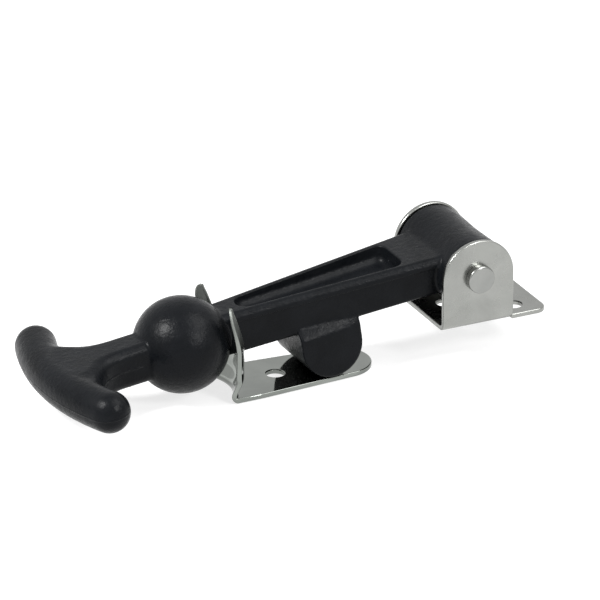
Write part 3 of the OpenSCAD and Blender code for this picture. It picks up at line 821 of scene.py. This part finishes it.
def black_rubber():
    material, tree, shader, place = new_finish("black_rubber")
    turned = add_node(tree, "ShaderNodeMapping")
    c, s = math.cos(TILT), math.sin(TILT)
    turned.inputs["Rotation"].default_value = (0, TILT, 0)
    turned.inputs["Location"].default_value = (
        -(PIN_X * c + PIN_Z * s) * MM, 0, -(PIN_Z * c - PIN_X * s) * MM
    )
    tree.links.new(place, turned.inputs["Vector"])
    local = turned.outputs[0]
    grain = use_effect(tree, GRAIN, local, Grains_per_metre=2600.0, Wave_share=0.85)
    gloss = smudges(tree, local, 330.0, *RUBBER_ROUGH)
    dust = smudges(tree, local, 90.0)
    colour = blend_colours(tree, dust.outputs[0], RUBBER_DARK, RUBBER_DUSTY)
    tree.links.new(colour, shader.inputs["Base Color"])
    tree.links.new(gloss.outputs[0], shader.inputs["Roughness"])
    # The mould's parting line runs round the middle plane
    parts = add_node(tree, "ShaderNodeSeparateXYZ")
    tree.links.new(local, parts.inputs[0])
    off = add_node(tree, "ShaderNodeMath", operation="ABSOLUTE")
    tree.links.new(parts.outputs["Z"], off.inputs[0])
    nick = smudges(tree, local, 420.0, *SEAM_SPREAD)
    seam = add_node(tree, "ShaderNodeMapRange")
    seam.inputs["From Min"].default_value = SEAM_CORE
    seam.inputs["To Min"].default_value, seam.inputs["To Max"].default_value = 1.0, 0.0
    tree.links.new(off.outputs[0], seam.inputs["Value"])
    tree.links.new(nick.outputs[0], seam.inputs["From Max"])
    on_handle = add_node(tree, "ShaderNodeMath", operation="LESS_THAN")
    on_handle.inputs[1].default_value = -(STRAP_REACH + BALL_R) * MM
    flash = add_node(tree, "ShaderNodeMath", operation="MULTIPLY")
    tree.links.new(parts.outputs["X"], on_handle.inputs[0])
    tree.links.new(seam.outputs[0], flash.inputs[0])
    tree.links.new(on_handle.outputs[0], flash.inputs[1])
    skin = add_node(tree, "ShaderNodeBump", Strength=0.45, Distance=0.0004)
    tree.links.new(grain.outputs["Height"], skin.inputs["Height"])
    line = add_node(tree, "ShaderNodeBump", Strength=0.6, Distance=0.0002)
    tree.links.new(flash.outputs[0], line.inputs["Height"])
    tree.links.new(skin.outputs[0], line.inputs["Normal"])
    tree.links.new(line.outputs[0], shader.inputs["Normal"])
    shader.inputs["Specular IOR Level"].default_value = RUBBER_SHINE
    return material


def steel(name, dull, bright, rough_range, line_depth, satin_above=None):
    """Bare steel: cloudy colour and polish over fine rolling lines."""
    material, tree, shader, place = new_finish(name)
    cloud = smudges(tree, place, 70.0)
    polish = smudges(tree, place, 110.0, *rough_range)
    rolled = use_effect(tree, ROLLED, place, Lines_per_metre=2500.0)
    tree.links.new(blend_colours(tree, cloud.outputs[0], dull, bright), shader.inputs["Base Color"])
    rough = polish.outputs[0]
    if satin_above:
        parts = tree.nodes.new("ShaderNodeSeparateXYZ")
        height = tree.nodes.new("ShaderNodeMapRange")
        more = add_node(tree, "ShaderNodeMath", operation="ADD")
        tree.links.new(place, parts.inputs[0])
        tree.links.new(parts.outputs["Z"], height.inputs["Value"])
        for end, value in zip(("From Min", "From Max"), satin_above):
            height.inputs[end].default_value = value
        height.inputs["To Max"].default_value = SATIN_MORE
        tree.links.new(rough, more.inputs[0])
        tree.links.new(height.outputs[0], more.inputs[1])
        rough = more.outputs[0]
    tree.links.new(rough, shader.inputs["Roughness"])
    bump = add_node(tree, "ShaderNodeBump", Strength=0.3, Distance=line_depth)
    tree.links.new(rolled.outputs[0], bump.inputs["Height"])
    tree.links.new(bump.outputs[0], shader.inputs["Normal"])
    shader.inputs["Metallic"].default_value = 1
    return material


# ---- pieces on their bodies ----

rubber = black_rubber()
satin_steel = steel("satin_steel", SATIN_DULL, SATIN_BRIGHT, SATIN_ROUGH, SATIN_LINES)
mirror_steel = steel(
    "mirror_steel", MIRROR_DULL, MIRROR_BRIGHT, MIRROR_ROUGH, POLISHED_LINES, SATIN_ABOVE
)
pin_steel = steel("pin_steel", PIN_DULL, PIN_BRIGHT, PIN_ROUGH, POLISHED_LINES)

strap = make_strap()
keeper = make_keeper()
bracket = make_bracket()
pin = make_pin(pin_steel)

for piece, finish, node_name, body, slot in (
    (strap, rubber, "rubber_strap", "strap", "black_rubber"),
    (keeper, mirror_steel, "keeper_bracket", "brackets", "stainless_keeper"),
    (bracket, satin_steel, "mounting_bracket", "brackets", "stainless_sheet"),
    (pin, pin_steel, "hinge_pin", "brackets", "pin_steel"),
):
    piece.data.materials.clear()
    piece.data.materials.append(finish)
    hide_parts(node_name)
    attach(piece, body)


# ---- floor, light and camera ----

FLOOR_HALF, FLOOR_Z, FLOOR_GREY, FLOOR_GLOW = 4000, -0.3, 0.4, 0.75
ROOM_LIGHT, ROOM_SEEN = 0.3, 1.0
# name, place and size in metres, watts
LAMPS = (
    ("key", (-0.60, -0.02, 0.64), 0.26, 10.5),
    ("fill", (0.26, -0.70, 0.51), 0.22, 3.6),
    ("top", (0.40, -0.26, 0.76), 0.62, 4.2),
)
LAMP_AIM = (-0.01, 0, 0.012)
# Fitted to the photo: degrees, millimetres of lens, metres
CAMERA_DOWN, CAMERA_TURN, CAMERA_LENS = 23.96, -25.98, 553.57
CAMERA_PLACE = (-1.07605, -2.20320, 1.11238)


def seen_ray(tree):
    """1 for rays from the camera and for mirrored or refracted ones, else 0."""
    path = tree.nodes.new("ShaderNodeLightPath")
    total = path.outputs["Is Camera Ray"]
    for name in ("Is Glossy Ray", "Is Transmission Ray"):
        most = add_node(tree, "ShaderNodeMath", operation="MAXIMUM")
        tree.links.new(total, most.inputs[0])
        tree.links.new(path.outputs[name], most.inputs[1])
        total = most.outputs[0]
    return total


def make_floor():
    corners = ((-1, -1), (1, -1), (1, 1), (-1, 1))
    points = [(x * FLOOR_HALF, y * FLOOR_HALF, FLOOR_Z) for x, y in corners]
    piece = new_piece("floor", points, [(0, 1, 2, 3)])
    material, tree, shader, _ = new_finish("pale_floor")
    shader.inputs["Base Color"].default_value = (FLOOR_GREY,) * 3 + (1,)
    shader.inputs["Roughness"].default_value = 0.9
    shader.inputs["Specular IOR Level"].default_value = 0.08
    shader.inputs["Emission Color"].default_value = (1, 1, 1, 1)
    lift = add_node(tree, "ShaderNodeMath", operation="MULTIPLY")
    lift.inputs[1].default_value = FLOOR_GLOW
    tree.links.new(seen_ray(tree), lift.inputs[0])
    tree.links.new(lift.outputs[0], shader.inputs["Emission Strength"])
    piece.data.materials.append(material)


def make_world():
    world = bpy.data.worlds.new("white_room")
    bpy.context.scene.world = world
    world.use_nodes = True
    tree = world.node_tree
    back = tree.nodes["Background"]
    back.inputs["Color"].default_value = (1, 1, 1, 1)
    level = add_node(tree, "ShaderNodeMapRange")
    level.inputs["To Min"].default_value = ROOM_LIGHT
    level.inputs["To Max"].default_value = ROOM_SEEN
    tree.links.new(seen_ray(tree), level.inputs["Value"])
    tree.links.new(level.outputs[0], back.inputs["Strength"])


def add_lamp(name, place, size, watts):
    lamp = bpy.data.lights.new(name, "AREA")
    lamp.shape, lamp.size, lamp.energy = "DISK", size, watts
    held = bpy.data.objects.new(name, lamp)
    held.location = place
    held.rotation_euler = (Vector(LAMP_AIM) - Vector(place)).to_track_quat("-Z", "Y").to_euler()
    bpy.context.scene.collection.objects.link(held)


make_floor()
make_world()
for lamp in LAMPS:
    add_lamp(*lamp)

camera = bpy.data.objects.new("camera", bpy.data.cameras.new("camera"))
camera.data.sensor_width = 36
camera.data.lens = CAMERA_LENS
camera.data.clip_start, camera.data.clip_end = 0.1, 50
camera.location = CAMERA_PLACE
camera.rotation_euler = (math.radians(90 - CAMERA_DOWN), 0, math.radians(CAMERA_TURN))
bpy.context.scene.collection.objects.link(camera)
bpy.context.scene.camera = camera
bpy.context.scene.view_settings.view_transform = "Standard"
